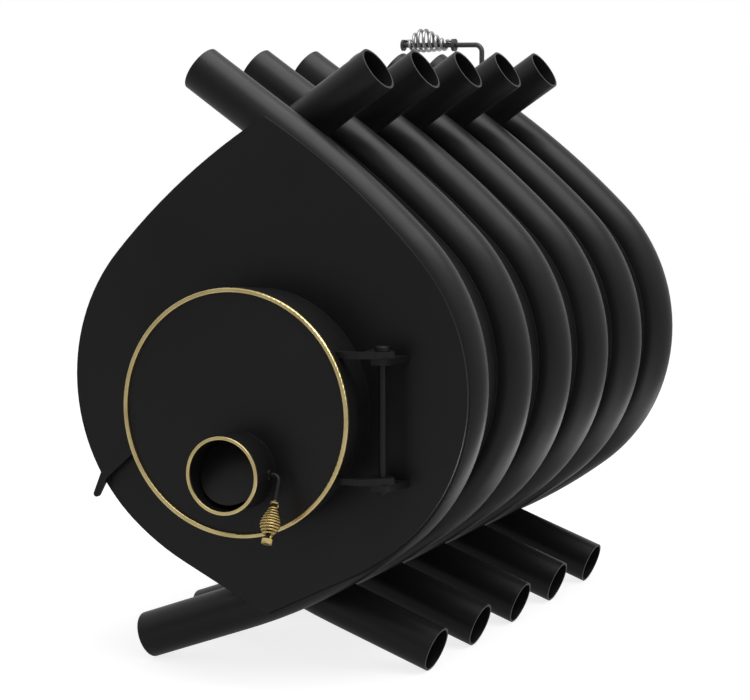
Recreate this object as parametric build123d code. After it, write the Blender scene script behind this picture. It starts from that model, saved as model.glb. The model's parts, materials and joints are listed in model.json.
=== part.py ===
from build123d import *
from math import acos, cos, log, pi, radians, sin, sqrt
import os

os.makedirs("parts", exist_ok=True)

# Convection wood stove, millimetres. +Z is up, the door faces -Y, and the stove
# stands on the lower ends of its air tubes at z = 0. Two rows of bent tubes cross
# over the top and under the belly; strips between them close the firebox.
# Angles of the bends are measured at the arc centres from the horizontal.

overrun = 2.0
running_clearance = 0.05
push_clearance = 0.02
seat_gap = 0.3

# Air tubes
tube_od = 60.0
tube_wall = 3.0
row_pitch = 75.4
right_tubes = 6
left_tubes = right_tubes - 1
front_row_y = -384.0
half_width = 255.7
side_radius = 230.0
roof_radius = 1253.0
belly_radius = 822.0
shoulder_angle = 45.6
roof_angle = 55.6
hip_angle = 52.7
leg_angle = 70.0
arm_length = 150.0
leg_length = 145.0
injector_hole = 16.0

# Strips between the tubes
strip_wall = 4.0
strip_sink = 5.0

# End plates
plate_wall = 5.0
plate_half_width = 274.0
plate_drop = 8.8
plate_side_radius = 245.0
plate_roof_radius = 880.0
plate_belly_radius = 337.0
plate_shoulder_angle = 41.4
plate_roof_angle = 63.6
plate_hip_angle = 48.6
plate_belly_angle = 63.7

# Door and its seat, under the widest place of the barrel
door_x = -4.1
door_drop = 33.1
collar_od = 296.0
collar_wall = 4.0
gasket_thick = 8.0
gasket_round = 2.5
pan_lap = 5.5
pan_wall = 3.0
pan_depth = 30.0
rim_to_plate = 44.7
trim_ring_lap = 1.55
trim_ring_width = 5.7
trim_ring_thick = 4.0
trim_ring_round = 1.4
shield_side_gap = 16.0
shield_wall = 3.0
shield_gap = 26.0
stud_dia = 8.0
stud_shoulder_dia = 16.0
stud_inset = 24.0
stud_count = 4
stud_start_angle = 45.0
shield_nut_af = 13.0
shield_nut_height = 6.5
stud_tail = 3.0

# Air intake in the door
intake_x = 3.8
intake_drop = 69.9
intake_od = 94.0
intake_wall = 3.0
intake_length = 48.5
intake_ring_od = 97.0
intake_ring_thick = 3.0
intake_ring_round = 1.2
throttle_inset = 31.2
throttle_gap = 0.6
throttle_wall = 2.0
throttle_flat = 0.8
slot_end_gap = 1.0
throttle_rest_angle = 25.0
throttle_rod = 6.0
throttle_reach = 62.2
throttle_bend = 8.0
throttle_far_end = 54.0
throttle_lever = 86.0
throttle_collar_od = 13.0
throttle_collar_width = 4.0
throttle_screw_dia = 4.0
throttle_screw_head = 7.5
throttle_screw_spread = 24.0
screw_head_height = 2.6

# Wound grip of the throttle
throttle_grip_start = 36.0
throttle_grip_end = 80.0
throttle_grip_turns = 10
throttle_grip_wire = 2.4
throttle_grip_top_radius = 4.5
throttle_grip_low_radius = 4.9
throttle_grip_radius = 11.5
throttle_grip_lift = 0.0
throttle_grip_peak_share = 0.6
ferrule_od = 13.5
ferrule_length = 6.0
ferrule_top_od = 11.5
ferrule_top_length = 4.0
ferrule_top_taper = 2.4

# Hinge
hinge_side_gap = 27.6
hinge_reach = 35.0
hinge_pin_dia = 9.0
strap_thick = 8.0
strap_depth = 12.0
strap_half_spacing = 77.2
head_back = 14.0
head_front = 16.0
head_left = 19.0
head_right = 16.0
lug_thick = 8.0
lug_root_width = 42.0
lug_tip_width = 20.0
lug_nose = 12.0
pin_cap_od = 18.0
pin_cap_height = 6.0
pin_cap_round = 1.5
pin_tail = 5.0
pin_clip_od = 13.0
pin_clip_height = 2.5

# Latch on the left of the door
latch_pivot_out = 9.5
latch_pivot_angle = 195.0
latch_bolt_dia = 8.0
latch_shoulder_dia = 14.0
latch_tab_thick = 8.0
latch_tab_width = 16.0
latch_boss_radius = 9.0
latch_nut_af = 13.0
latch_nut_height = 4.5
latch_plate_gap = 2.2
lever_thick = 6.0
lever_width = 11.0
lever_elbow_out = 66.0
lever_elbow_drop = 59.2
lever_tip_out = 78.0
lever_tip_drop = 84.8
lever_tip_width = 8.0
hook_length = 34.0
hook_width = 10.0
hook_rest_angle = 14.0
catch_angle = 183.5
catch_reach = 14.0
catch_width = 20.0
catch_wall = 5.0
catch_gap = 2.0

# Inside the firebox
baffle_wall = 4.0
baffle_height = 125.0
baffle_side_gap = 2.8
baffle_front_gap = 214.0
baffle_hole = 14.0
baffle_hole_rows = 9
baffle_hole_columns = 5
baffle_hole_pitch_y = 54.0
baffle_hole_pitch_x = 60.0
rail_leg = 20.0
rail_wall = 3.0
injector_od = 20.0
injector_wall = 2.0
injector_reach = 30.0
injector_height = 210.0
ash_lip_wall = 4.0
ash_lip_lap = 8.0
ash_lip_rise = 49.0

# Flue outlet and damper
flue_od = 120.0
flue_wall = 3.0
flue_drop = 129.1
flue_length = 150.0
spigot_step = 0.8
spigot_length = 48.0
damper_distance = 91.0
blade_gap = 1.2
blade_end_gap = 2.0
blade_wall = 2.0
blade_notch_radius = 14.0
damper_rod = 8.0
damper_far_end = 72.0
damper_rod_x = 74.0
damper_rise = 228.0
damper_low_bend = 9.0
damper_high_bend = 11.0
damper_grip_x = 208.0
damper_collar_od = 18.0
damper_collar_width = 5.0
bush_od = 16.0
bush_stand = 4.0
blade_screw_dia = 5.0
blade_screw_head = 9.0
blade_screw_spread = 52.0

# Wound grip of the damper
damper_grip_length = 84.0
damper_grip_turns = 7
damper_grip_wire = 5.0
damper_grip_start_radius = 6.8
damper_grip_far_radius = 6.8
damper_grip_radius = 17.0
damper_grip_lift = 7.5
damper_grip_peak_share = 0.64
near_cap_od = 20.0
near_cap_length = 5.0
far_cap_od = 18.0
far_cap_length = 4.0


def rad(angle):
    return radians(angle)


tube_r = tube_od / 2
leg_lean = 90 - leg_angle


class Bow:
    """Right half of an outline seen from the front: arm, roof arc, side arc, belly arc, leg."""

    def __init__(self, width, side, roof, belly, angles, offset=0, drop=0):
        shoulder, top, hip, low = angles
        self.side, self.roof, self.belly = side + offset, roof + offset, belly + offset
        self.angles = (rad(top), rad(shoulder), -rad(hip), -rad(low))
        a_top, a_shoulder, a_hip, a_low = self.angles
        self.side_centre = Vector(width - side, -drop)
        self.roof_centre = self.side_centre + self.unit(a_shoulder) * (side - roof)
        self.belly_centre = self.side_centre + self.unit(a_hip) * (side - belly)
        self.arm_start = self.roof_centre + self.unit(a_top) * self.roof
        self.shoulder = self.side_centre + self.unit(a_shoulder) * self.side
        self.hip = self.side_centre + self.unit(a_hip) * self.side
        self.leg_start = self.belly_centre + self.unit(a_low) * self.belly
        self.arm_way = Vector(-sin(a_top), cos(a_top))
        self.leg_way = Vector(sin(a_low), -cos(a_low))

    @staticmethod
    def unit(angle):
        return Vector(cos(angle), sin(angle))

    def arm(self, length):
        return self.arm_start + self.arm_way * length

    def leg(self, length):
        return self.leg_start + self.leg_way * length

    def roof_end(self):
        """Angle where the roof arc ends: at its arm, or at the middle if it gets there first."""
        if self.arm_start.X < 0:
            return acos(-self.roof_centre.X / self.roof)
        return self.angles[0]

    def belly_end(self):
        """Angle where the belly arc ends: at its leg, or at the middle if it gets there first."""
        if self.leg_start.X < 0:
            return -acos(-self.belly_centre.X / self.belly)
        return self.angles[-1]

    def middle_top(self):
        """Point where the arm or the roof arc crosses the middle of the stove."""
        if self.arm_start.X < 0:
            return self.roof_centre + self.unit(self.roof_end()) * self.roof
        return self.arm(self.arm_start.X / -self.arm_way.X)

    def middle_bottom(self):
        """Point where the belly arc or the leg crosses the middle of the stove."""
        if self.leg_start.X < 0:
            return self.belly_centre + self.unit(self.belly_end()) * self.belly
        return self.leg(self.leg_start.X / -self.leg_way.X)

    def edges(self, y, high_angle, low_angle, top=None, bottom=None, mirror=1):
        """Edges in the plane at y from high_angle round to low_angle, with lines to top and bottom."""

        def place(p):
            return Vector(mirror * p.X, y, widest_z + p.Y)

        _, a_shoulder, a_hip, _ = self.angles
        high_point = self.roof_centre + self.unit(high_angle) * self.roof
        low_point = self.belly_centre + self.unit(low_angle) * self.belly
        middles = (
            self.roof_centre + self.unit((high_angle + a_shoulder) / 2) * self.roof,
            self.side_centre + self.unit((a_shoulder + a_hip) / 2) * self.side,
            self.belly_centre + self.unit((a_hip + low_angle) / 2) * self.belly,
        )
        ends = (high_point, self.shoulder, self.hip, low_point)
        chain = [Edge.make_line(place(top), place(high_point))] if top else []
        for start, middle, end in zip(ends, middles, ends[1:]):
            chain.append(Edge.make_three_point_arc(place(start), place(middle), place(end)))
        if bottom:
            chain.append(Edge.make_line(place(low_point), place(bottom)))
        return chain

    def half(self, y, mirror=1):
        """Edges from the middle of the stove at the top to its middle at the bottom."""
        top = None if self.arm_start.X < 0 else self.middle_top()
        bottom = None if self.leg_start.X < 0 else self.middle_bottom()
        return self.edges(y, self.roof_end(), self.belly_end(), top, bottom, mirror)

    def half_width_at(self, height):
        """Distance from the middle to the side arc at a height over the widest place."""
        rise = height - self.side_centre.Y
        return self.side_centre.X + sqrt(self.side**2 - rise**2)

    def roof_half_width_at(self, height):
        """Distance from the middle to the roof arc at a height over the widest place."""
        rise = height - self.roof_centre.Y
        return self.roof_centre.X + sqrt(self.roof**2 - rise**2)


def tube_bow(offset=0):
    angles = (shoulder_angle, roof_angle, hip_angle, leg_angle)
    return Bow(half_width, side_radius, roof_radius, belly_radius, angles, offset)


widest_z = 0
axis = tube_bow()
widest_z = tube_r * cos(rad(leg_lean)) - axis.leg(leg_length).Y
back_row_y = front_row_y + 2 * (right_tubes - 1) * row_pitch
plate_back_y = front_row_y - tube_r
plate_front_y = plate_back_y - plate_wall
rear_plate_y = back_row_y + tube_r


def save(shape, name):
    shape.label = name
    export_step(shape, f"parts/{name}.step")


def gather(pieces):
    return pieces[0] if len(pieces) == 1 else Compound(children=list(pieces))


def cylinder_y(radius, y_near, y_far, x=0, z=0):
    plane = Plane(origin=(x, y_near, z), x_dir=(1, 0, 0), z_dir=(0, 1, 0))
    return extrude(plane * Circle(radius), amount=y_far - y_near)


def cylinder_z(radius, z_low, z_high, x=0, y=0):
    plane = Plane(origin=(x, y, z_low), z_dir=(0, 0, 1))
    return extrude(plane * Circle(radius), amount=z_high - z_low)


def cylinder_x(radius, x_near, x_far, y=0, z=0):
    plane = Plane(origin=(x_near, y, z), x_dir=(0, 1, 0), z_dir=(1, 0, 0))
    return extrude(plane * Circle(radius), amount=x_far - x_near)


def ring_y(outer, inner, y_near, y_far, x=0, z=0):
    body = cylinder_y(outer, y_near, y_far, x, z)
    return body - cylinder_y(inner, y_near - overrun, y_far + overrun, x, z)


def flat_y(outline, y_near, y_far):
    """Plate whose outline is a list of (x, z) points, from y_near to y_far."""
    points = [(x, y_near, z) for x, z in outline]
    wire = Wire.make_polygon([Vector(*p) for p in points], close=True)
    return extrude(Face(wire), amount=y_far - y_near, dir=(0, 1, 0))


def flat_z(outline, z_low, z_high):
    """Plate whose outline is a list of (x, y) points, from z_low to z_high."""
    wire = Wire.make_polygon([Vector(x, y, z_low) for x, y in outline], close=True)
    return extrude(Face(wire), amount=z_high - z_low, dir=(0, 0, 1))


# Air tubes


def swept_tube(radius_out, radius_in=0):
    top, bottom = axis.arm(arm_length), axis.leg(leg_length)
    path = Wire(axis.edges(0, axis.angles[0], axis.angles[-1], top, bottom))
    start = Vector(top.X, 0, widest_z + top.Y)
    way = Vector(-axis.arm_way.X, 0, -axis.arm_way.Y)
    section = Plane(origin=start, x_dir=(0, 1, 0), z_dir=way) * Circle(radius_out)
    if radius_in:
        section = section - Plane(origin=start, x_dir=(0, 1, 0), z_dir=way) * Circle(radius_in)
    return sweep(section, path=path)


def row_y(side, index):
    """y of tube number index, from 0, on the right or left side."""
    return front_row_y + (2 * index + (0 if side > 0 else 1)) * row_pitch


right_blank = swept_tube(tube_r)
left_blank = mirror(right_blank, about=Plane.YZ)
right_tube = swept_tube(tube_r, tube_r - tube_wall)
left_tube = mirror(right_tube, about=Plane.YZ)
inside = tube_bow(-tube_r)


injector_x = axis.roof_half_width_at(injector_height)
injector_tip_x = inside.roof_half_width_at(injector_height) - injector_reach
injector_z = widest_z + injector_height

tube_sets = ((1, right_tubes, right_tube, "right"), (-1, left_tubes, left_tube, "left"))
for side, count, blank, word in tube_sets:
    for index in range(count):
        y = row_y(side, index)
        tube = Pos(0, y, 0) * blank
        if index == 0:
            ends = sorted((side * injector_x, side * injector_tip_x))
            tube = tube - cylinder_x(injector_hole / 2, *ends, y, injector_z)
        save(tube, f"air_tube_{word}_{index + 1}")

# Strips between neighbouring tubes of one side, cut where the other side's tube crosses


def strip(side, y_near, y_far, crossing):
    outer, inner = tube_bow(-strip_sink), tube_bow(-strip_sink - strip_wall)

    def closing(a, b):
        return Edge.make_line((0, y_near, widest_z + a.Y), (0, y_near, widest_z + b.Y))

    closers = [
        closing(outer.middle_top(), inner.middle_top()),
        closing(outer.middle_bottom(), inner.middle_bottom()),
    ]
    face = Face(Wire([*outer.half(y_near, side), *inner.half(y_near, side), *closers]))
    body = extrude(face, amount=y_far - y_near, dir=(0, 1, 0))
    return body - crossing


for index in range(right_tubes - 1):
    y_near, y_far = row_y(1, index) + tube_r, row_y(1, index + 1) - tube_r
    crossing = Pos(0, row_y(-1, index), 0) * left_blank
    save(strip(1, y_near, y_far, crossing), f"shell_strip_right_{index + 1}")
for index in range(left_tubes + 1):
    y_near = row_y(-1, index - 1) + tube_r if index else plate_back_y
    y_far = row_y(-1, index) - tube_r if index < left_tubes else rear_plate_y
    crossing = Pos(0, row_y(1, index), 0) * right_blank
    save(strip(-1, y_near, y_far, crossing), f"shell_strip_left_{index + 1}")

# End plates

collar_r = collar_od / 2
collar_in = collar_r - collar_wall
pan_r = collar_r + pan_lap
door_z = widest_z - door_drop
flue_r = flue_od / 2
flue_in = flue_r - flue_wall
plate_angles = (plate_shoulder_angle, plate_roof_angle, plate_hip_angle, plate_belly_angle)
plate_sizes = (plate_half_width, plate_side_radius, plate_roof_radius, plate_belly_radius)
plate_bow = Bow(*plate_sizes, plate_angles, drop=plate_drop)
flue_z = widest_z + plate_bow.middle_top().Y - flue_drop


def end_plate(y_near, hole_radius, hole_x, hole_z):
    face = Face(Wire([*plate_bow.half(y_near), *plate_bow.half(y_near, -1)]))
    body = extrude(face, amount=plate_wall, dir=(0, 1, 0))
    hole_ends = (y_near - overrun, y_near + plate_wall + overrun)
    return body - cylinder_y(hole_radius, *hole_ends, hole_x, hole_z)


save(end_plate(plate_front_y, collar_in, door_x, door_z), "front_plate")
save(end_plate(rear_plate_y, flue_in, 0, flue_z), "rear_plate")

# Door

pan_back_y = plate_front_y - rim_to_plate
pan_front_y = pan_back_y - pan_depth
disc_back_y = pan_front_y + pan_wall
gasket_back_y = disc_back_y + gasket_thick
collar_front_y = gasket_back_y + seat_gap
save(ring_y(collar_r, collar_in, collar_front_y, plate_front_y, door_x, door_z), "door_collar")

intake_r = intake_od / 2
intake_in = intake_r - intake_wall
intake_z = door_z - intake_drop
intake_front_y = pan_front_y - intake_length

pan = cylinder_y(pan_r, pan_front_y, pan_back_y, door_x, door_z)
pan = pan - cylinder_y(pan_r - pan_wall, disc_back_y, pan_back_y + overrun, door_x, door_z)
pan = pan - cylinder_y(intake_in, pan_front_y - overrun, disc_back_y + overrun, intake_x, intake_z)
save(pan, "door_pan")

trim_r = pan_r + trim_ring_lap
trim_front_y = pan_front_y - trim_ring_thick


def trim_ring(outer, inner, y_front, y_back, rounding, x, z):
    body = ring_y(outer, inner, y_front, y_back, x, z)
    front_edges = body.edges().filter_by(GeomType.CIRCLE).group_by(Axis.Y)[0]
    return fillet(front_edges, rounding)


def save_trims():
    inner = trim_r - trim_ring_width
    ring = trim_ring(trim_r, inner, trim_front_y, pan_front_y, trim_ring_round, door_x, door_z)
    save(ring, "door_trim_ring")
    y_front = intake_front_y - intake_ring_thick
    place = (intake_x, intake_z)
    ring = trim_ring(intake_ring_od / 2, intake_in, y_front, intake_front_y, intake_ring_round, *place)
    save(ring, "intake_trim_ring")


save_trims()

gasket_mid_r = collar_r - collar_wall / 2
gasket = ring_y(
    gasket_mid_r + gasket_thick / 2,
    gasket_mid_r - gasket_thick / 2,
    disc_back_y,
    gasket_back_y,
    door_x,
    door_z,
)
save(fillet(gasket.edges().filter_by(GeomType.CIRCLE).group_by(Axis.Y)[-1], gasket_round), "door_gasket")

shield_r = collar_in - shield_side_gap
shield_front_y = disc_back_y + shield_gap
shield_back_y = shield_front_y + shield_wall
stud_r = stud_dia / 2
stud_circle_r = shield_r - stud_inset
stud_places = []
for number in range(stud_count):
    angle = rad(stud_start_angle + number * 360 / stud_count)
    stud_places.append((door_x + stud_circle_r * cos(angle), door_z + stud_circle_r * sin(angle)))

shield = cylinder_y(shield_r, shield_front_y, shield_back_y, door_x, door_z)
hole_ends = (shield_front_y - overrun, shield_back_y + overrun)
for x, z in stud_places:
    shield = shield - cylinder_y(stud_r + push_clearance, *hole_ends, x, z)
save(shield, "door_heat_shield")

nut_back_y = shield_back_y + shield_nut_height


def stud(x, z):
    """Shouldered stud: the thick part holds the shield off the door, the thin end takes the nut."""
    shoulder = cylinder_y(stud_shoulder_dia / 2, disc_back_y, shield_front_y, x, z)
    return shoulder + cylinder_y(stud_r, shield_front_y, nut_back_y + stud_tail, x, z)


def hex_nut_y(across_flats, y_near, y_far, x, z, hole_radius=0):
    plane = Plane(origin=(x, y_near, z), x_dir=(1, 0, 0), z_dir=(0, 1, 0))
    nut = extrude(plane * RegularPolygon(across_flats / 2, 6, major_radius=False), amount=y_far - y_near)
    if hole_radius:
        nut = nut - cylinder_y(hole_radius, y_near - overrun, y_far + overrun, x, z)
    return nut


save(gather([stud(x, z) for x, z in stud_places]), "shield_studs")
nuts = [
    hex_nut_y(shield_nut_af, shield_back_y, nut_back_y, x, z, stud_r + push_clearance)
    for x, z in stud_places
]
save(gather(nuts), "shield_nuts")

# Air intake and throttle

throttle_y = intake_front_y + throttle_inset
throttle_r = throttle_rod / 2
intake = ring_y(intake_r, intake_in, intake_front_y, pan_front_y, intake_x, intake_z)
bore_ends = (intake_x - intake_r - overrun, intake_x + intake_r + overrun)
intake = intake - cylinder_x(throttle_r + running_clearance, *bore_ends, throttle_y, intake_z)
save(intake, "air_intake_tube")

throttle_turn = Pos(intake_x, throttle_y, intake_z) * Rot(-throttle_rest_angle, 0, 0)
throttle_disc_r = intake_in - throttle_gap


def throttle_place(shape):
    """Put a shape drawn about the shaft, with the throttle shut, into its rest pose."""
    return throttle_turn * shape


def blade_disc(radius, wall, screw_dia, spread):
    disc = cylinder_y(radius, -wall / 2, wall / 2)
    for x in (-spread / 2, spread / 2):
        disc = disc - cylinder_y(screw_dia / 2 + push_clearance, -wall, wall, x)
    return disc


def drilled(rod, rod_radius, screw_dia, spread):
    """Cut the screw holes across a shaft along X."""
    for x in (-spread / 2, spread / 2):
        hole = cylinder_y(screw_dia / 2 + push_clearance, -rod_radius - overrun, rod_radius + overrun, x)
        rod = rod - hole
    return rod


def bent_rod(points, bends, radius):
    """Round rod from the first point to the last, with each corner between them bent to a radius."""
    edges = []
    here = points[0]
    for corner, beyond, bend in zip(points[1:], points[2:], bends):
        way_in, way_out = (corner - here).normalized(), (beyond - corner).normalized()
        bend_start, bend_end = corner - way_in * bend, corner + way_out * bend
        edges.append(Edge.make_line(here, bend_start))
        edges.append(Edge.make_tangent_arc(bend_start, way_in, bend_end))
        here = bend_end
    edges.append(Edge.make_line(here, points[-1]))
    start = Plane(origin=points[0], x_dir=(0, 1, 0), z_dir=(points[1] - points[0]).normalized())
    return sweep(start * Circle(radius), path=Wire(edges))


def screw_y(dia, head, head_y, tip_y, x):
    """Screw across a shaft, from the underside of its head to its tip."""
    head_end = head_y + (screw_head_height if head_y > tip_y else -screw_head_height)
    shank = cylinder_y(dia / 2, *sorted((head_y, tip_y)), x)
    return shank + cylinder_y(head / 2, *sorted((head_y, head_end)), x)


# The disc lies against a flat on the front of its rod, screwed on from behind
rod_flat_y = -throttle_r + throttle_flat
disc_front_y = rod_flat_y - throttle_wall
disc = blade_disc(throttle_disc_r, throttle_wall, throttle_screw_dia, throttle_screw_spread)
save(throttle_place(Pos(0, rod_flat_y - throttle_wall / 2, 0) * disc), "throttle_disc")

throttle_points = [
    Vector(-throttle_far_end, 0, 0),
    Vector(throttle_reach, 0, 0),
    Vector(throttle_reach, 0, -throttle_lever),
]
flat_cutter = Box(2 * (throttle_disc_r + slot_end_gap), throttle_rod, 2 * throttle_rod)
throttle_shaft = bent_rod(throttle_points, [throttle_bend], throttle_r)
throttle_shaft = throttle_shaft - Pos(0, rod_flat_y - throttle_r, 0) * flat_cutter
throttle_shaft = drilled(throttle_shaft, throttle_r, throttle_screw_dia, throttle_screw_spread)
save(throttle_place(throttle_shaft), "throttle_shaft")

screws = [
    screw_y(throttle_screw_dia, throttle_screw_head, throttle_r, disc_front_y, x)
    for x in (-throttle_screw_spread / 2, throttle_screw_spread / 2)
]
save(throttle_place(gather(screws)), "throttle_screws")


def stop_collar(outer, rod_radius, x_near, x_far):
    body = cylinder_x(outer, x_near, x_far)
    return body - cylinder_x(rod_radius + push_clearance, x_near - overrun, x_far + overrun)


collar_near = intake_r + seat_gap
collar_far = collar_near + throttle_collar_width
collars = [
    stop_collar(throttle_collar_od / 2, throttle_r, -collar_far, -collar_near),
    stop_collar(throttle_collar_od / 2, throttle_r, collar_near, collar_far),
]
save(throttle_place(gather(collars)), "throttle_collars")

# Wound grips: one wire each, a tapering helix laid as two tangent arcs to each half turn


def biarc(start, start_way, end, end_way):
    """Two arcs that meet smoothly between two points with given directions."""
    span = end - start
    both = start_way + end_way
    a = 2 * (start_way.dot(end_way) - 1)
    b = -2 * span.dot(both)
    c = span.dot(span)
    reach = (-b - sqrt(b * b - 4 * a * c)) / (2 * a)
    first, second = start + start_way * reach, end - end_way * reach
    middle = (first + second) * 0.5
    middle_way = (second - first).normalized()
    return [
        Edge.make_tangent_arc(start, start_way, middle),
        Edge.make_tangent_arc(middle, middle_way, end),
    ]


def wound_grip(length, turns, wire, start_radius, end_radius, peak_radius, lift, peak_share, label):
    """
    Wire wound about Z from z = 0 up to z = length, its ends turned along Z into what they meet.
    The turns swell to the peak radius, and there their middle lies off the axis by the lift.
    """
    bend = wire
    low, high = wire + bend, length - wire - bend

    def point(share):
        base = start_radius + (end_radius - start_radius) * share
        swell = sin(pi * share ** (log(0.5) / log(peak_share)))
        r = base + (peak_radius - base) * swell
        angle = 2 * pi * turns * share
        return Vector(r * cos(angle) + lift * swell, r * sin(angle), low + (high - low) * share)

    def way(share):
        if share in (0, 1):
            angle = 2 * pi * turns * share
            return Vector(-sin(angle), cos(angle), 0)
        small = 1e-4
        return (point(share + small) - point(share - small)).normalized()

    up = Vector(0, 0, 1)
    first, first_way = point(0), way(0)
    last, last_way = point(1), way(1)
    entry = first - (first_way + up) * bend
    leave = last + (last_way + up) * bend
    edges = [
        Edge.make_line(entry - up * wire, entry),
        Edge.make_tangent_arc(entry, up, first),
    ]
    spans = 2 * turns
    for number in range(spans):
        here, there = number / spans, (number + 1) / spans
        edges += biarc(point(here), way(here), point(there), way(there))
    edges += [Edge.make_tangent_arc(last, last_way, leave), Edge.make_line(leave, leave + up * wire)]
    path = Wire(edges)
    start = Plane(origin=entry - up * wire, z_dir=up)
    tube = sweep(start * Circle(wire / 2), path=path)
    report_gap(edges, wire, label)
    return tube


def report_gap(edges, wire, label):
    """Print the least gap between the wire and itself, measured on points along its middle."""
    points, run = [], 0
    per_edge = 12
    for edge in edges:
        for step in range(per_edge):
            share = step / per_edge
            points.append((run + share * edge.length, edge.position_at(share)))
        run += edge.length
    least = min(
        (p - q).length
        for i, (s, p) in enumerate(points)
        for t, q in points[i + 1 :]
        if t - s > pi * wire
    )
    volume = run * pi * (wire / 2) ** 2
    print(f"{label}: least gap {least - wire:.2f} mm, wire {run:.0f} mm, volume {volume:.0f} mm3")


grip_length = throttle_grip_end - throttle_grip_start
throttle_grip = wound_grip(
    grip_length,
    throttle_grip_turns,
    throttle_grip_wire,
    throttle_grip_top_radius,
    throttle_grip_low_radius,
    throttle_grip_radius,
    throttle_grip_lift,
    throttle_grip_peak_share,
    "throttle grip",
)
down = Pos(throttle_reach, 0, -throttle_grip_start) * Rot(180, 0, 0)
save(throttle_place(down * throttle_grip), "throttle_grip")


def grip_cap(outer, rod_radius, z_low, z_high):
    body = cylinder_z(outer, z_low, z_high)
    return body - cylinder_z(rod_radius + push_clearance, z_low - overrun, z_high + overrun)


top_ferrule = grip_cap(ferrule_top_od / 2, throttle_r, -ferrule_top_length, 0)
outer_edge = top_ferrule.edges().group_by(Axis.Z)[0].sort_by(SortBy.RADIUS)[-1]
ferrules = [
    chamfer(outer_edge, ferrule_top_taper),
    grip_cap(ferrule_od / 2, throttle_r, grip_length, grip_length + ferrule_length),
]
save(throttle_place(down * gather(ferrules)), "throttle_ferrules")

# Hinge at the right of the door

hinge_x = door_x + pan_r + hinge_side_gap
hinge_y = plate_front_y - hinge_reach
pin_r = hinge_pin_dia / 2
strap_zs = (door_z + strap_half_spacing, door_z - strap_half_spacing)
rim_x = door_x + sqrt(pan_r**2 - (strap_half_spacing + strap_thick / 2) ** 2)


def door_strap(z):
    """Flat bar from the door rim with a broad head that turns on the pin."""
    z_low, z_high = z - strap_thick / 2, z + strap_thick / 2
    bar_back = pan_back_y - strap_depth / 2
    bar_front = bar_back - strap_depth
    head_x = hinge_x - head_left
    outline = [
        (rim_x - strap_depth, bar_back),
        (rim_x - strap_depth, bar_front),
        (head_x, bar_front),
        (hinge_x, hinge_y - head_front),
        (hinge_x + head_right, hinge_y),
        (hinge_x + head_right / 2, hinge_y + head_back),
        (head_x, hinge_y + head_back),
        (head_x, bar_back),
    ]
    bar = flat_z(outline, z_low, z_high)
    bar = bar - cylinder_y(pan_r, bar_front - overrun, bar_back + overrun, door_x, door_z)
    return bar - cylinder_z(pin_r + running_clearance, z_low - overrun, z_high + overrun, hinge_x, hinge_y)


def hinge_lug(z_high):
    """Tapered plate welded to the front plate under a strap."""
    outline = [
        (hinge_x - lug_root_width / 2, plate_front_y),
        (hinge_x - lug_tip_width / 2, hinge_y - lug_nose),
        (hinge_x + lug_tip_width / 2, hinge_y - lug_nose),
        (hinge_x + lug_root_width / 2, plate_front_y),
    ]
    z_low = z_high - lug_thick
    lug = flat_z(outline, z_low, z_high)
    return lug - cylinder_z(pin_r + push_clearance, z_low - overrun, z_high + overrun, hinge_x, hinge_y)


save(gather([door_strap(z) for z in strap_zs]), "door_straps")
save(gather([hinge_lug(z - strap_thick / 2 - seat_gap) for z in strap_zs]), "hinge_lugs")

cap_z = strap_zs[0] + strap_thick / 2 + seat_gap
lug_bottom_z = strap_zs[1] - strap_thick / 2 - seat_gap - lug_thick
pin_low_z = lug_bottom_z - pin_tail
cap = cylinder_z(pin_cap_od / 2, cap_z, cap_z + pin_cap_height, hinge_x, hinge_y)
cap = fillet(cap.edges().group_by(Axis.Z)[-1], pin_cap_round)
save(cap + cylinder_z(pin_r, pin_low_z, cap_z, hinge_x, hinge_y), "hinge_pin")
clip = cylinder_z(pin_clip_od / 2, lug_bottom_z - pin_clip_height, lug_bottom_z, hinge_x, hinge_y)
clip = clip - cylinder_z(pin_r + push_clearance, pin_low_z, lug_bottom_z + overrun, hinge_x, hinge_y)
save(clip, "hinge_pin_clip")

# Latch at the left of the door. Its lever hangs released: raised, it turns the hook behind the catch.

pivot_circle_r = pan_r + latch_pivot_out
pivot_way = Vector(cos(rad(latch_pivot_angle)), sin(rad(latch_pivot_angle)))
pivot_x = door_x + pivot_circle_r * pivot_way.X
pivot_z = door_z + pivot_circle_r * pivot_way.Y
bolt_r = latch_bolt_dia / 2
bolt_back_y = plate_front_y - latch_plate_gap
latch_nut_y = bolt_back_y - latch_nut_height
lever_back_y = latch_nut_y - seat_gap
lever_front_y = lever_back_y - lever_thick
shoulder_back_y = lever_front_y - seat_gap
tab_back_y = pan_back_y
tab_front_y = tab_back_y - latch_tab_thick


def bar_between(start, end, start_width, end_width, y_near, y_far):
    """Tapered flat bar between two (x, z) points."""
    way = Vector(end[0] - start[0], end[1] - start[1]).normalized()
    side = Vector(-way.Y, way.X)
    outline = [
        (start[0] + side.X * start_width / 2, start[1] + side.Y * start_width / 2),
        (end[0] + side.X * end_width / 2, end[1] + side.Y * end_width / 2),
        (end[0] - side.X * end_width / 2, end[1] - side.Y * end_width / 2),
        (start[0] - side.X * start_width / 2, start[1] - side.Y * start_width / 2),
    ]
    return flat_y(outline, y_near, y_far)


def radial_bar(angle, root, reach, width, y_near, y_far):
    """Flat bar that points away from the door's middle, between two radii."""
    way = Vector(cos(rad(angle)), sin(rad(angle)))
    start, end = [(door_x + radius * way.X, door_z + radius * way.Y) for radius in (root, reach)]
    bar = bar_between(start, end, width, width, y_near, y_far)
    return bar - cylinder_y(root + overrun, y_near - overrun, y_far + overrun, door_x, door_z)


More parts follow.
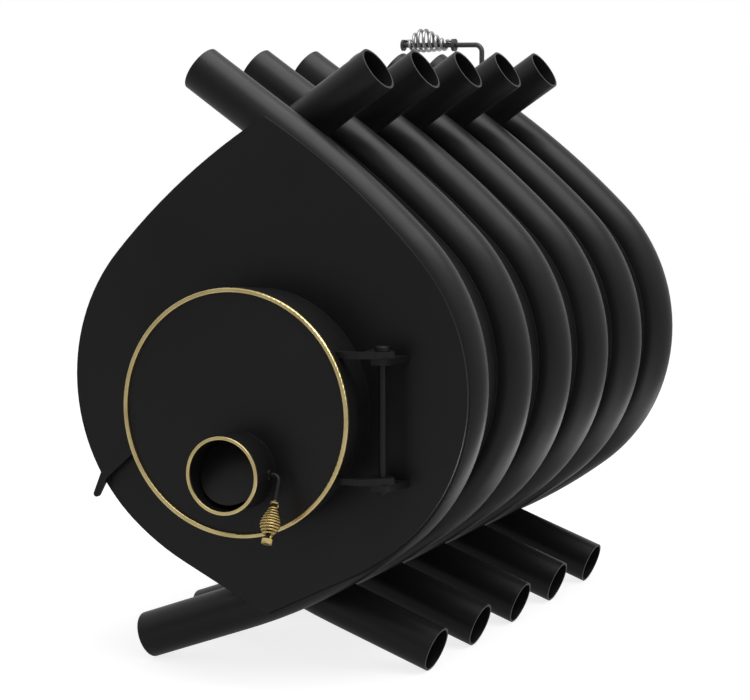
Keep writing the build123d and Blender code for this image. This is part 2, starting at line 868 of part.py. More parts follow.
def tab():
    """Ear welded to the door rim that carries the latch bolt."""
    ends = (tab_front_y, tab_back_y)
    ear = radial_bar(latch_pivot_angle, pan_r - overrun, pivot_circle_r, latch_tab_width, *ends)
    ear = ear + cylinder_y(latch_tab_width / 2, *ends, pivot_x, pivot_z)
    hole_ends = (tab_front_y - overrun, tab_back_y + overrun)
    ear = ear - cylinder_y(pan_r, *hole_ends, door_x, door_z)
    return ear - cylinder_y(bolt_r + push_clearance, *hole_ends, pivot_x, pivot_z)


save(tab(), "latch_tab")


def latch_lever():
    """Flat lever: a boss on the bolt, a cranked handle down to the left and a hook arm upwards."""
    pivot = (pivot_x, pivot_z)
    elbow = (pivot_x - lever_elbow_out, pivot_z - lever_elbow_drop)
    tip = (pivot_x - lever_tip_out, pivot_z - lever_tip_drop)
    hook_angle = rad(latch_pivot_angle - 90 + hook_rest_angle)
    hook = (pivot_x + hook_length * cos(hook_angle), pivot_z + hook_length * sin(hook_angle))
    ends = (lever_front_y, lever_back_y)
    lever = cylinder_y(latch_boss_radius, *ends, *pivot)
    bars = (
        (pivot, elbow, lever_width, lever_width),
        (elbow, tip, lever_width, lever_tip_width),
        (pivot, hook, hook_width, hook_width),
    )
    for start, end, start_width, end_width in bars:
        lever = lever + bar_between(start, end, start_width, end_width, *ends)
        lever = lever + cylinder_y(end_width / 2, *ends, *end)
    hole_ends = (lever_front_y - overrun, lever_back_y + overrun)
    return lever - cylinder_y(bolt_r + running_clearance, *hole_ends, *pivot)


save(latch_lever(), "latch_lever")

bolt = cylinder_y(bolt_r, tab_front_y, bolt_back_y, pivot_x, pivot_z)
bolt = bolt + cylinder_y(latch_shoulder_dia / 2, tab_back_y, shoulder_back_y, pivot_x, pivot_z)
save(bolt, "latch_bolt")
nut_ends = (latch_nut_y, bolt_back_y)
save(hex_nut_y(latch_nut_af, *nut_ends, pivot_x, pivot_z, bolt_r + push_clearance), "latch_nut")


def latch_catch():
    """Tongue welded to the round of the door's seat, a little in front of the lever."""
    ends = (lever_front_y - catch_gap - catch_wall, lever_front_y - catch_gap)
    return radial_bar(catch_angle, collar_r - overrun, collar_r + catch_reach, catch_width, *ends)


save(latch_catch(), "latch_catch")

# Inside the firebox

baffle_z = widest_z + baffle_height
baffle_front_y = plate_back_y + baffle_front_gap
rail_x = inside.half_width_at(baffle_height)
baffle_half_width = rail_x - rail_wall - baffle_side_gap


def baffle():
    length = rear_plate_y - baffle_front_y
    middle_y = (rear_plate_y + baffle_front_y) / 2
    plate = Box(2 * baffle_half_width, length, baffle_wall)
    hole = Cylinder(baffle_hole / 2, baffle_wall + overrun)
    grid = GridLocations(baffle_hole_pitch_x, baffle_hole_pitch_y, baffle_hole_columns, baffle_hole_rows)
    plate = plate - [place * hole for place in grid]
    return Pos(0, middle_y, baffle_z + baffle_wall / 2) * plate


def rail(side):
    """Angle bar welded inside the tubes of one side; the baffle lies on its shelf."""
    outline = [
        (rail_x, baffle_z),
        (rail_x, baffle_z - rail_leg),
        (rail_x - rail_wall, baffle_z - rail_leg),
        (rail_x - rail_wall, baffle_z - rail_wall),
        (rail_x - rail_leg, baffle_z - rail_wall),
        (rail_x - rail_leg, baffle_z),
    ]
    return flat_y([(side * x, z) for x, z in outline], baffle_front_y, rear_plate_y)


save(baffle(), "firebox_baffle")
save(gather([rail(1), rail(-1)]), "baffle_rails")


def injector(side):
    """Short pipe from a hole in the first tube of a side into the upper chamber."""
    y = row_y(side, 0)
    ends = sorted((side * injector_x, side * injector_tip_x))
    pipe = cylinder_x(injector_od / 2, *ends, y, injector_z)
    bore_ends = (ends[0] - overrun, ends[1] + overrun)
    pipe = pipe - cylinder_x(injector_od / 2 - injector_wall, *bore_ends, y, injector_z)
    blank = right_blank if side > 0 else left_blank
    return pipe - Pos(0, y, 0) * blank


save(gather([injector(1), injector(-1)]), "injector_pipes")


def ash_lip():
    """Segment of plate behind the foot of the door opening that keeps ash and logs in."""
    lip_r = collar_in + ash_lip_lap
    disc = cylinder_y(lip_r, plate_back_y, plate_back_y + ash_lip_wall, door_x, door_z)
    lip_top_z = door_z - collar_in + ash_lip_rise
    cutter = Box(2 * (lip_r + overrun), 2 * (ash_lip_wall + overrun), 2 * lip_r)
    return disc - Pos(door_x, plate_back_y, lip_top_z + lip_r) * cutter


save(ash_lip(), "ash_lip")

# Flue outlet and damper

rear_face_y = rear_plate_y + plate_wall
flue_end_y = rear_face_y + flue_length
damper_y = rear_face_y + damper_distance
damper_r = damper_rod / 2
bush_r = bush_od / 2
spigot_r = flue_r - spigot_step
shoulder_y = flue_end_y - spigot_length
flue = ring_y(flue_r, flue_in, rear_face_y, shoulder_y, 0, flue_z)
flue = flue + ring_y(spigot_r, flue_in, shoulder_y, flue_end_y, 0, flue_z)
for side in (-1, 1):
    ends = sorted((side * (flue_in - overrun), side * (flue_r + overrun)))
    flue = flue - cylinder_x(bush_r + push_clearance, *ends, damper_y, flue_z)
save(flue, "flue_outlet")

bush_out = flue_r + bush_stand
bush_in = sqrt(flue_in**2 - bush_r**2)
blade_r = flue_in - blade_gap
blade_end_r = bush_in - blade_end_gap


def bush(side):
    """Plain bearing through the flue wall, its inner end where the wall's bore meets its round."""
    ends = sorted((side * bush_in, side * bush_out))
    body = cylinder_x(bush_r, *ends, damper_y, flue_z)
    bore_ends = (ends[0] - overrun, ends[1] + overrun)
    return body - cylinder_x(damper_r + running_clearance, *bore_ends, damper_y, flue_z)


save(gather([bush(-1), bush(1)]), "damper_bushes")


def damper_place(shape):
    return Pos(0, damper_y, flue_z) * shape


def lie_flat(shape):
    """Turn a blade drawn shut, across the flue, to its open pose along the flue."""
    return damper_place(Rot(90, 0, 0) * shape)


blade = blade_disc(blade_r, blade_wall, blade_screw_dia, blade_screw_spread)
for side in (-1, 1):
    blade = blade - cylinder_y(blade_notch_radius, -blade_wall, blade_wall, 0, side * blade_r)
for side in (-1, 1):
    cutter = Box(2 * blade_r, 2 * blade_wall, 2 * bush_r)
    blade = blade - Pos(side * (blade_end_r + blade_r), 0, 0) * cutter
save(lie_flat(blade), "damper_blade")


damper_points = [
    Vector(damper_far_end, 0, 0),
    Vector(-damper_rod_x, 0, 0),
    Vector(-damper_rod_x, 0, damper_rise),
    Vector(-damper_grip_x - far_cap_length, 0, damper_rise),
]
damper_bends = [damper_low_bend, damper_high_bend]
slot_cutter = Box(2 * (blade_end_r + slot_end_gap), blade_wall, damper_rod + overrun)
damper_shaft = Rot(-90, 0, 0) * bent_rod(damper_points, damper_bends, damper_r) - slot_cutter
damper_shaft = drilled(damper_shaft, damper_r, blade_screw_dia, blade_screw_spread)
save(lie_flat(damper_shaft), "damper_shaft")

screws = [
    screw_y(blade_screw_dia, blade_screw_head, -damper_r, damper_r, x)
    for x in (-blade_screw_spread / 2, blade_screw_spread / 2)
]
save(lie_flat(gather(screws)), "damper_screws")

stop_near = bush_out + seat_gap
stop = stop_collar(damper_collar_od / 2, damper_r, stop_near, stop_near + damper_collar_width)
save(damper_place(stop), "damper_collar")

damper_grip = wound_grip(
    damper_grip_length,
    damper_grip_turns,
    damper_grip_wire,
    damper_grip_start_radius,
    damper_grip_far_radius,
    damper_grip_radius,
    damper_grip_lift,
    damper_grip_peak_share,
    "damper grip",
)
grip_start_x = damper_grip_x - damper_grip_length
outward = Pos(-grip_start_x, 0, damper_rise) * Rot(0, -90, 0)
save(damper_place(outward * damper_grip), "damper_grip")
caps = [
    grip_cap(near_cap_od / 2, damper_r, -near_cap_length, 0),
    grip_cap(far_cap_od / 2, damper_r, damper_grip_length, damper_grip_length + far_cap_length),
]
save(damper_place(outward * gather(caps)), "damper_grip_caps")
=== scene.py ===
import json
from math import acos, ceil, cos, log, pi, radians, sin, sqrt

import bpy
from mathutils import Matrix, Vector


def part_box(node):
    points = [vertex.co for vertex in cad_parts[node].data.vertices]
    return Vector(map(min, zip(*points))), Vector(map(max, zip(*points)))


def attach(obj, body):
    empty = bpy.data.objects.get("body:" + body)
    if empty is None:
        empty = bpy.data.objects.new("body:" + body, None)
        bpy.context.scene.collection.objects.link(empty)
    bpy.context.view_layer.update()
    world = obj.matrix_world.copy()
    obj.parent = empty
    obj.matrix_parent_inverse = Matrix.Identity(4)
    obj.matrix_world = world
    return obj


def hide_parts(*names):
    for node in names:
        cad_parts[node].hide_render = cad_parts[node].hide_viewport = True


# Looks of the convection wood stove, metres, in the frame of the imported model.
# Welds, wound grips and the seal are modelled here; the other nodes keep their shape.

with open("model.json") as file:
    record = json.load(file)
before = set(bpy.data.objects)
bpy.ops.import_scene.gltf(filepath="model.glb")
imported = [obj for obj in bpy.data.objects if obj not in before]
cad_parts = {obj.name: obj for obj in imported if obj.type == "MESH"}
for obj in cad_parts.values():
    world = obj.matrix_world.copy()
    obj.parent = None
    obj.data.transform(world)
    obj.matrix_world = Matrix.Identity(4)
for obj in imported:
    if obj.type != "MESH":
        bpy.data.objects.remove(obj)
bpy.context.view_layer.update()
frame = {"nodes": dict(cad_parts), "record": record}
nodes = frame["nodes"]
joints = {joint["name"]: joint for joint in frame["record"]["behaviour"]["joints"]}

# View, as fitted to the photograph
camera_place = (1.3462, -3.0708, 0.7567)
camera_way = (-0.40811, 0.90583, -0.11367)
lens = 114.6
sensor = 36.0

# Floor and surroundings: reflections fade from the dim front to the pale back over a span along a way
floor_size = 40.0
floor_colour = 0.4
floor_glow = 0.8
floor_back = 0.4
floor_way = (0, 1, 0)
floor_span = (-1.8, -0.7)
world_fill = 0.5
world_back = 0.8
world_way = (0, 1, 1)
world_span = (-0.7, 0.1)
room_front = 0.3

# Lamps: place, aim, width and length, power
key_lamp = ((0.7, -0.3, 3.0), (0, 0, 0.4), (2.6, 2.6), 68)
low_lamp = ((0.52, 0.3, 0.01), (0.52, 0.3, 1), (0.26, 1.3), 2.1)

# Looks: linear colours, roughness from and to, and what else differs from plain paint
paint_look = {
    "dark": (0.0080, 0.0080, 0.0083),
    "light": (0.0110, 0.0110, 0.0113),
    "rough": (0.36, 0.42),
    "specular": 0.26,
}
weld_look = {**paint_look, "rough": (0.6, 0.7), "specular": 0.12}
soot_look = {
    "dark": (0.004, 0.004, 0.004),
    "light": (0.010, 0.0095, 0.009),
    "rough": (0.7, 0.9),
    "specular": 0.2,
    "patch": 12.0,
}
metal_grain = 0.00002
gold_look = {
    "dark": (0.61, 0.485, 0.215),
    "light": (0.80, 0.65, 0.325),
    "rough": (0.28, 0.36),
    "metallic": 1.0,
    "patch": 30.0,
    "depth": metal_grain,
}
brass_look = {
    "dark": (0.39, 0.28, 0.10),
    "light": (0.78, 0.60, 0.25),
    "rough": (0.28, 0.42),
    "metallic": 1.0,
    "patch": 90.0,
    "depth": metal_grain,
}
steel_look = {
    "dark": (0.25, 0.25, 0.255),
    "light": (0.58, 0.58, 0.58),
    "rough": (0.3, 0.45),
    "metallic": 1.0,
    "patch": 60.0,
    "depth": metal_grain,
}
dull_look = {
    "dark": (0.045, 0.045, 0.046),
    "light": (0.080, 0.080, 0.081),
    "rough": (0.4, 0.5),
    "metallic": 0.5,
    "patch": 60.0,
    "depth": metal_grain,
}
rope_look = {
    "dark": (0.42, 0.40, 0.36),
    "light": (0.72, 0.71, 0.67),
    "rough": (0.8, 0.95),
    "patch": 150.0,
    "grain": 2500.0,
    "depth": 0.0002,
}

# Noise: where drifts start and end, and how gloss, waves and grain follow the patches of colour
drift_span = (0.3, 0.7)
gloss_scale_ratio = 5
wave_scale_ratio = 7
fine_detail = 2.0
wave_depth = 0.0006
wave_strength = 0.12
grain_strength = 0.4

# Bow of the air tubes and outline of the end plates, as in the CAD model:
# half width, then side, roof and belly radii; shoulder, top, hip and low angles in degrees
tube_sizes = (0.2557, 0.230, 1.253, 0.822)
tube_angles = (45.6, 55.6, 52.7, 70.0)
leg_length = 0.145
plate_sizes = (0.274, 0.245, 0.880, 0.337)
plate_angles = (41.4, 63.6, 48.6, 63.7)
plate_drop = 0.0088
strip_sink = 0.005
outline_step = 0.006

# Weld beads; the edge beads lie between the end plates and the outermost tubes
bead_radius = 0.0024
ring_bead_radius = 0.0011
bead_ripple = 0.0032
ripple_share = 0.16
seam_radius = 0.0019
seam_step = 0.004
seam_sides = 6
edge_bead_least = 0.0012
edge_bead_sink_share = 0.6
edge_reach_share = 0.93
bead_sides = 8
ripple_rings = 4
ring_step = 0.004

# Seal rope
strand_count = 8
strand_radius = 0.0011
strand_pitch = 0.030
strand_step = 0.0022
strand_sides = 6
strand_swell_share = 0.07
core_share = 0.86
core_sides = 12

# Wound grips, as in the CAD model
throttle_grip = {
    "length": 0.044,
    "turns": 10,
    "wire": 0.0024,
    "start_radius": 0.0045,
    "end_radius": 0.0049,
    "peak_radius": 0.0115,
    "lift": 0.0,
    "peak_share": 0.6,
}
throttle_grip_start = 0.036
throttle_reach = 0.0622
throttle_rest_angle = -25.0
damper_grip = {
    "length": 0.084,
    "turns": 7,
    "wire": 0.005,
    "start_radius": 0.0068,
    "end_radius": 0.0068,
    "peak_radius": 0.0170,
    "lift": 0.0075,
    "peak_share": 0.64,
}
damper_grip_start = 0.124
damper_rise = 0.228
wire_steps = 56
wire_sides = 14
bend_steps = 4


# Materials


def node_of(tree, kind, **inputs):
    """Add a shader node and set its inputs by name."""
    node = tree.nodes.new(kind)
    for name, value in inputs.items():
        node.inputs[name.replace("_", " ")].default_value = value
    return node


def ramp(tree, factor, low, high):
    """Colour ramp from low to high over a noise factor."""
    node = tree.nodes.new("ShaderNodeValToRGB")
    for element, position, colour in zip(node.color_ramp.elements, drift_span, (low, high)):
        element.position = position
        element.color = (*colour, 1)
    tree.links.new(factor, node.inputs["Fac"])
    return node.outputs["Color"]


def spread(tree, factor, low, high):
    """Number from low to high over a noise factor."""
    start, end = drift_span
    node = node_of(tree, "ShaderNodeMapRange", From_Min=start, From_Max=end, To_Min=low, To_Max=high)
    tree.links.new(factor, node.inputs["Value"])
    return node.outputs["Result"]


def noise(tree, scale, detail=4.0, roughness=0.55):
    """Noise in the object's own space."""
    coords = tree.nodes.new("ShaderNodeTexCoord")
    node = node_of(tree, "ShaderNodeTexNoise", Scale=scale, Detail=detail, Roughness=roughness)
    tree.links.new(coords.outputs["Object"], node.inputs["Vector"])
    return node.outputs["Fac"]


def bump(tree, height, distance, strength, before=None):
    """Unevenness of the surface, laid over an earlier one if given."""
    node = node_of(tree, "ShaderNodeBump", Strength=strength, Distance=distance)
    tree.links.new(height, node.inputs["Height"])
    if before:
        tree.links.new(before, node.inputs["Normal"])
    return node.outputs["Normal"]


def surface(
    name,
    dark,
    light,
    rough,
    metallic=0.0,
    specular=0.5,
    patch=6.0,
    grain=900.0,
    depth=0.00005,
):
    """Material with drifting colour and gloss, broad unevenness and a fine grain."""
    material = bpy.data.materials.new(name)
    material.use_nodes = True
    tree = material.node_tree
    shader = tree.nodes["Principled BSDF"]
    shader.inputs["Metallic"].default_value = metallic
    shader.inputs["Specular IOR Level"].default_value = specular
    tree.links.new(ramp(tree, noise(tree, patch), dark, light), shader.inputs["Base Color"])
    tree.links.new(spread(tree, noise(tree, patch * gloss_scale_ratio), *rough), shader.inputs["Roughness"])
    waves = bump(tree, noise(tree, patch * wave_scale_ratio, fine_detail), wave_depth, wave_strength)
    fine = bump(tree, noise(tree, grain, fine_detail), depth, grain_strength, waves)
    tree.links.new(fine, shader.inputs["Normal"])
    return material


paint = surface("black_heat_paint", **paint_look)
weld = surface("painted_weld", **weld_look)
soot = surface("sooted_steel", **soot_look)
gold = surface("gold_trim", **gold_look)
brass = surface("brass_wire", **brass_look)
steel = surface("bright_steel", **steel_look)
dull = surface("dull_steel", **dull_look)
rope = surface("glass_rope", **rope_look)


def dress():
    """Give each carried-over node its material."""
    looks = {
        "gold_trim": gold,
        "brass_wire": brass,
        "steel_wire": steel,
        "plain_steel": steel,
        "seal_rope": rope,
    }
    special = {
        "firebox_baffle": soot,
        "baffle_rails": soot,
        "ash_lip": soot,
        "door_heat_shield": soot,
        "damper_blade": soot,
        "injector_pipes": soot,
        "door_collar": weld,
        "damper_shaft": dull,
        "damper_grip_caps": dull,
    }
    slots = {part["node"]: part["material_slot"] for part in frame["record"]["subparts"]}
    for name, obj in nodes.items():
        material = special.get(name, looks.get(slots[name], paint))
        obj.data.materials.clear()
        obj.data.materials.append(material)


# Tubes along a line of points


def sweep(points, radii, sides, closed=False):
    """Vertices and faces of a tube along a line of points, without twist."""
    count = len(points)
    ways = []
    for i in range(count):
        before = points[i - 1] if i or closed else points[i]
        after = points[(i + 1) % count] if i < count - 1 or closed else points[i]
        ways.append((after - before).normalized())
    side = ways[0].orthogonal().normalized()
    vertices, faces = [], []
    for point, way, radius in zip(points, ways, radii):
        side = (side - way * side.dot(way)).normalized()
        other = way.cross(side)
        for k in range(sides):
            angle = 2 * pi * k / sides
            vertices.append(point + (side * cos(angle) + other * sin(angle)) * radius)
    rings = count if closed else count - 1
    shift = best_shift(vertices, sides, count) if closed else 0
    for i in range(rings):
        last = closed and i == count - 1
        for k in range(sides):
            a, b = i * sides + k, i * sides + (k + 1) % sides
            step = shift if last else 0
            base = 0 if last else (i + 1) * sides
            c, d = base + (k + 1 + step) % sides, base + (k + step) % sides
            faces.append((a, b, c, d))
    if not closed:
        faces.append(tuple(range(sides - 1, -1, -1)))
        faces.append(tuple((count - 1) * sides + k for k in range(sides)))
    return vertices, faces


def best_shift(vertices, sides, count):
    """Turn, in sides, that joins the last ring of a closed tube to its first one."""
    last = vertices[(count - 1) * sides]
    return min(range(sides), key=lambda k: (vertices[k] - last).length)


def mesh_object(name, tubes, material, body):
    """One piece from several swept tubes."""
    vertices, faces = [], []
    for tube_vertices, tube_faces in tubes:
        start = len(vertices)
        vertices += [tuple(v) for v in tube_vertices]
        faces += [tuple(i + start for i in face) for face in tube_faces]
    mesh = bpy.data.meshes.new(name)
    mesh.from_pydata(vertices, [], faces)
    mesh.polygons.foreach_set("use_smooth", [len(face) == 4 for face in faces])
    mesh.materials.append(material)
    obj = bpy.data.objects.new(name, mesh)
    bpy.context.scene.collection.objects.link(obj)
    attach(obj, body)
    return obj


def spaced(points, step, closed=False):
    """Points at an even step along a line of points."""
    line = points + [points[0]] if closed else points
    lengths = [0.0]
    for a, b in zip(line, line[1:]):
        lengths.append(lengths[-1] + (b - a).length)
    count = ceil(lengths[-1] / step)
    result, k = [], 0
    for i in range(count if closed else count + 1):
        target = lengths[-1] * i / count
        while k < len(lengths) - 2 and lengths[k + 1] < target:
            k += 1
        share = (target - lengths[k]) / (lengths[k + 1] - lengths[k])
        result.append(line[k].lerp(line[k + 1], share))
    return result


def ripple(number):
    """Swell of a bead at one of its rings, a ripple for each stroke of the welder."""
    return 1 + ripple_share * abs(sin(pi * number / ripple_rings))


def bead(points, radius):
    """Weld bead round a closed line of points."""
    rings = spaced(points, bead_ripple / ripple_rings, True)
    return sweep(rings, [radius * ripple(i) for i in range(len(rings))], bead_sides, True)


def ring_points(centre_x, centre_z, radius, y):
    """Points on an upright circle seen from the front."""
    count = ceil(2 * pi * radius / ring_step)
    angles = [2 * pi * i / count for i in range(count)]
    return [Vector((centre_x + radius * cos(a), y, centre_z + radius * sin(a))) for a in angles]


# Outlines of the barrel


def unit(angle):
    """Direction at an angle from +X towards +Z."""
    return Vector((cos(angle), 0, sin(angle)))


def half_outline(sizes, angles, y, offset=0.0, drop=0.0, side=1):
    """Points of a bow from the middle of the top round one side to the middle of the bottom."""
    width, side_radius, roof, belly = sizes
    shoulder, top, hip, low = [radians(angle) for angle in angles]
    side_centre = Vector((width - side_radius, y, -drop))
    roof_centre = side_centre + unit(shoulder) * (side_radius - roof)
    belly_centre = side_centre + unit(-hip) * (side_radius - belly)
    side_radius, roof, belly = side_radius + offset, roof + offset, belly + offset
    arm_start = roof_centre + unit(top) * roof
    if arm_start.x < 0:
        top = acos(-roof_centre.x / roof)
        points = []
    else:
        points = [arm_start + Vector((-sin(top), 0, cos(top))) * (arm_start.x / sin(top))]
    leg_start = belly_centre + unit(-low) * belly
    if leg_start.x < 0:
        low = acos(-belly_centre.x / belly)
    spans = (
        (roof_centre, roof, top, shoulder),
        (side_centre, side_radius, shoulder, -hip),
        (belly_centre, belly, -hip, -low),
    )
    for centre, radius, start, end in spans:
        count = ceil(abs(end - start) * radius / outline_step)
        points += [centre + unit(start + (end - start) * i / count) * radius for i in range(count)]
    points.append(belly_centre + unit(-low) * belly)
    if leg_start.x > 0:
        points.append(leg_start + Vector((-sin(low), 0, -cos(low))) * (leg_start.x / sin(low)))
    return [Vector((side * p.x, p.y, widest_z + p.z)) for p in points]


def find_widest():
    """Height of the barrel's widest place, from the lengths of the tubes below it."""
    width, side_radius, _, belly = tube_sizes
    hip, low = radians(tube_angles[2]), radians(tube_angles[3])
    leg_start = (belly * sin(low)) - (belly - side_radius) * sin(hip)
    return tube_radius * sin(low) + leg_start + leg_length * cos(low)


tube_low, tube_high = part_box("air_tube_right_1")
tube_radius = (tube_high[1] - tube_low[1]) / 2
widest_z = find_widest()


# Welds


def make_seams():
    """Thin seams where the strips meet their tubes."""
    for word, side in (("right", 1), ("left", -1)):
        seams = []
        for name in sorted(nodes):
            if not name.startswith(f"shell_strip_{word}"):
                continue
            low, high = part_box(name)
            for y in (low[1], high[1]):
                line = half_outline(tube_sizes, tube_angles, y, -strip_sink, side=side)
                rings = spaced(line, seam_step)
                seams.append(sweep(rings, [seam_radius] * len(rings), seam_sides))
        mesh_object(f"seam_welds_{word}", seams, weld, "stove_body")


def off_axis(point, axis):
    """Distance of a point from the nearest tube axis, seen from the front."""
    return min((Vector((point.x - p.x, 0, point.z - p.z))).length for p in axis)


def make_plate_welds():
    """Bead that fills the wedge between each end plate's edge and the outermost tube behind it."""
    for name, word, inward in (("front_plate", "front", 1), ("rear_plate", "rear", -1)):
        low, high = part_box(name)
        plate_y = high[1] if inward > 0 else low[1]
        axis = half_outline(tube_sizes, tube_angles, plate_y)
        edge = half_outline(plate_sizes, plate_angles, plate_y, drop=plate_drop)
        line = spaced(edge, bead_ripple / ripple_rings)
        middle = sum(line, Vector()) / len(line)
        points, radii = [], []
        for number, point in enumerate(line):
            off = off_axis(point, axis)
            if off > tube_radius * edge_reach_share:
                continue
            gap = tube_radius - sqrt(tube_radius**2 - off**2)
            radius = max(gap / 2, edge_bead_least)
            inset = (middle - point).normalized() * radius * edge_bead_sink_share
            points.append(point + inset + Vector((0, inward * gap / 2, 0)))
            radii.append(radius * ripple(number))
        tube = sweep(points, radii, bead_sides)
        mesh_object(f"{word}_plate_weld", [tube], weld, "stove_body")


def round_of(name):
    """Centre and radius of a round node seen from the front."""
    low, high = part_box(name)
    return (low[0] + high[0]) / 2, (low[2] + high[2]) / 2, (high[0] - low[0]) / 2


def make_ring_welds():
    """Beads round the door seat, the air intake and the flue outlet."""
    plate_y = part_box("front_plate")[0][1]
    x, z, radius = round_of("door_collar")
    line = ring_points(x, z, radius, plate_y)
    mesh_object("collar_weld", [bead(line, ring_bead_radius)], weld, "stove_body")
    x, z, radius = round_of("air_intake_tube")
    line = ring_points(x, z, radius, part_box("door_pan")[0][1])
    mesh_object("intake_weld", [bead(line, ring_bead_radius)], weld, "door")
    x, z, radius = round_of("flue_outlet")
    line = ring_points(x, z, radius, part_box("rear_plate")[1][1])
    mesh_object("flue_weld", [bead(line, bead_radius)], weld, "stove_body")


# Wound grips


def grip_points(length, turns, wire, start_radius, end_radius, peak_radius, lift, peak_share):
    """Line of a wire wound about Z, its ends turned along Z, as in the CAD model."""
    bend = wire
    low, high = wire + bend, length - wire - bend

    def point(share):
        base = start_radius + (end_radius - start_radius) * share
        swell = sin(pi * share ** (log(0.5) / log(peak_share))) if share else 0.0
        r = base + (peak_radius - base) * swell
        angle = 2 * pi * turns * share
        return Vector((r * cos(angle) + lift * swell, r * sin(angle), low + (high - low) * share))

    def turn(end, way, up):
        """Quarter bend from along Z into the winding."""
        centre = end + up * bend
        angles = [pi / 2 * i / bend_steps for i in range(bend_steps + 1)]
        arc = [centre - way * bend * sin(a) - up * bend * cos(a) for a in angles]
        return arc[1:] + [arc[-1] + up * wire]

    steps = turns * wire_steps
    coil = [point(i / steps) for i in range(steps + 1)]
    way = Vector((0, 1, 0))
    up = Vector((0, 0, 1))
    first = turn(coil[0], way, -up)[::-1]
    last = turn(coil[-1], -way, up)
    return first + coil + last


def wire_piece(name, node, grip, place, material, body):
    """Wound grip in the place of its CAD solid."""
    points = [place @ p for p in grip_points(**grip)]
    tube = sweep(points, [grip["wire"] / 2] * len(points), wire_sides)
    piece = mesh_object(name, [tube], material, body)
    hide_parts(node)


def make_grips():
    """Brass grip that hangs from the throttle's rod and steel grip that lies along the damper's."""
    hub = Matrix.Translation(joints["throttle_turn"]["pos_m"])
    lean = Matrix.Rotation(radians(throttle_rest_angle), 4, "X")
    down = Matrix.Translation((throttle_reach, 0, -throttle_grip_start)) @ Matrix.Rotation(pi, 4, "X")
    place = hub @ lean @ down
    wire_piece("throttle_coil", "throttle_grip", throttle_grip, place, brass, "throttle")
    hub = Matrix.Translation(joints["damper_turn"]["pos_m"])
    out = Matrix.Translation((-damper_grip_start, 0, damper_rise)) @ Matrix.Rotation(-pi / 2, 4, "Y")
    wire_piece("damper_coil", "damper_grip", damper_grip, hub @ out, steel, "damper")


# Seal of the door


def make_seal():
    """Braided rope in the door: two sets of strands that cross over a core."""
    x, z, outer = round_of("door_gasket")
    low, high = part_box("door_gasket")
    thick = (high[1] - low[1]) / 2
    middle, y = outer - thick, (low[1] + high[1]) / 2
    laid = thick - strand_radius
    length = 2 * pi * middle
    count = ceil(length / strand_step)
    twists = round(length / strand_pitch)
    core = ring_points(x, z, middle, y)
    tubes = [sweep(core, [laid * core_share] * len(core), core_sides, True)]
    for way in (1, -1):
        for number in range(strand_count):
            points = []
            for i in range(count):
                share = i / count
                turn = way * 2 * pi * (twists * share + number / strand_count)
                weave = strand_count * 2 * pi * twists * share + (pi if way < 0 else 0)
                r = laid * min(1 + strand_swell_share * sin(weave), 1.0)
                ring = middle + r * cos(turn)
                a = 2 * pi * share
                points.append(Vector((x + ring * cos(a), y + r * sin(turn), z + ring * sin(a))))
            tubes.append(sweep(points, [strand_radius] * count, strand_sides, True))
    piece = mesh_object("seal_rope_braid", tubes, rope, "door")
    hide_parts("door_gasket")


# Room


def blend(tree, factor, low, high):
    """Number from low to high over a factor; each may be a value or a socket."""
    node = tree.nodes.new("ShaderNodeMix")
    tree.links.new(factor, node.inputs["Factor"])
    for socket, value in ((node.inputs["A"], low), (node.inputs["B"], high)):
        if isinstance(value, float):
            socket.default_value = value
        else:
            tree.links.new(value, socket)
    return node.outputs["Result"]


def seen(tree, place, way, span, fill, front, back):
    """Strength for diffuse rays, for reflections from dim front to pale back, and for the camera."""
    along = tree.nodes.new("ShaderNodeVectorMath")
    along.operation = "DOT_PRODUCT"
    tree.links.new(place, along.inputs[0])
    along.inputs[1].default_value = way
    fade = node_of(tree, "ShaderNodeMapRange", From_Min=span[0], From_Max=span[1])
    tree.links.new(along.outputs["Value"], fade.inputs["Value"])
    room = blend(tree, fade.outputs["Result"], front, back)
    path = tree.nodes.new("ShaderNodeLightPath")
    glossy = tree.nodes.new("ShaderNodeMath")
    glossy.operation = "MAXIMUM"
    tree.links.new(path.outputs["Is Glossy Ray"], glossy.inputs[0])
    tree.links.new(path.outputs["Is Transmission Ray"], glossy.inputs[1])
    reflected = blend(tree, glossy.outputs[0], fill, room)
    return blend(tree, path.outputs["Is Camera Ray"], reflected, 1.0)


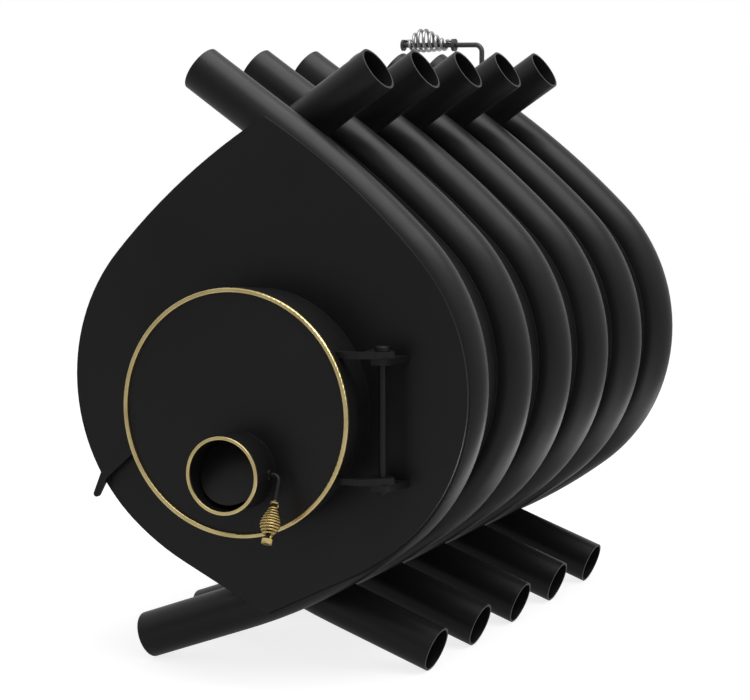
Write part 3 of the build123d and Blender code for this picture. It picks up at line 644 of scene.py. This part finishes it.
def make_room():
    """White floor that keeps the shadow of the stove."""
    size = floor_size
    mesh = bpy.data.meshes.new("floor")
    corners = [(-size, -size, 0), (size, -size, 0), (size, size, 0), (-size, size, 0)]
    mesh.from_pydata(corners, [], [(0, 1, 2, 3)])
    floor = bpy.data.objects.new("floor", mesh)
    bpy.context.scene.collection.objects.link(floor)
    material = bpy.data.materials.new("floor_white")
    material.use_nodes = True
    tree = material.node_tree
    tree.nodes.remove(tree.nodes["Principled BSDF"])
    output = tree.nodes["Material Output"]
    diffuse = node_of(tree, "ShaderNodeBsdfDiffuse", Color=(floor_colour, floor_colour, floor_colour, 1))
    glow = node_of(tree, "ShaderNodeEmission", Color=(floor_glow, floor_glow, floor_glow, 1))
    place = tree.nodes.new("ShaderNodeNewGeometry").outputs["Position"]
    strength = seen(tree, place, floor_way, floor_span, 0.0, room_front, floor_back)
    tree.links.new(strength, glow.inputs["Strength"])
    both = tree.nodes.new("ShaderNodeAddShader")
    tree.links.new(diffuse.outputs[0], both.inputs[0])
    tree.links.new(glow.outputs[0], both.inputs[1])
    tree.links.new(both.outputs[0], output.inputs["Surface"])
    mesh.materials.append(material)


def make_world():
    """White surroundings for the camera, graded ones for reflections."""
    world = bpy.data.worlds.new("plain_world")
    bpy.context.scene.world = world
    world.use_nodes = True
    tree = world.node_tree
    background = tree.nodes["Background"]
    background.inputs["Color"].default_value = (1, 1, 1, 1)
    way = tree.nodes.new("ShaderNodeTexCoord").outputs["Generated"]
    strength = seen(tree, way, world_way, world_span, world_fill, room_front, world_back)
    tree.links.new(strength, background.inputs["Strength"])


def lamp(name, place, aim, size, power):
    """Rectangular lamp that the camera doesn't see."""
    light = bpy.data.lights.new(name, "AREA")
    light.shape = "RECTANGLE"
    light.size, light.size_y = size
    light.energy = power
    obj = bpy.data.objects.new(name, light)
    obj.location = place
    obj.rotation_euler = (Vector(aim) - Vector(place)).to_track_quat("-Z", "Y").to_euler()
    obj.visible_camera = False
    bpy.context.scene.collection.objects.link(obj)


def make_camera():
    """Camera of the photograph, as fitted."""
    data = bpy.data.cameras.new("camera")
    data.lens = lens
    data.sensor_width = sensor
    camera = bpy.data.objects.new("camera", data)
    camera.location = camera_place
    camera.rotation_euler = Vector(camera_way).to_track_quat("-Z", "Y").to_euler()
    bpy.context.scene.collection.objects.link(camera)
    bpy.context.scene.camera = camera


dress()
make_seams()
make_plate_welds()
make_ring_welds()
make_grips()
make_seal()
make_room()
make_world()
lamp("key", *key_lamp)
lamp("low", *low_lamp)
make_camera()
bpy.context.scene.view_settings.view_transform = "Standard"
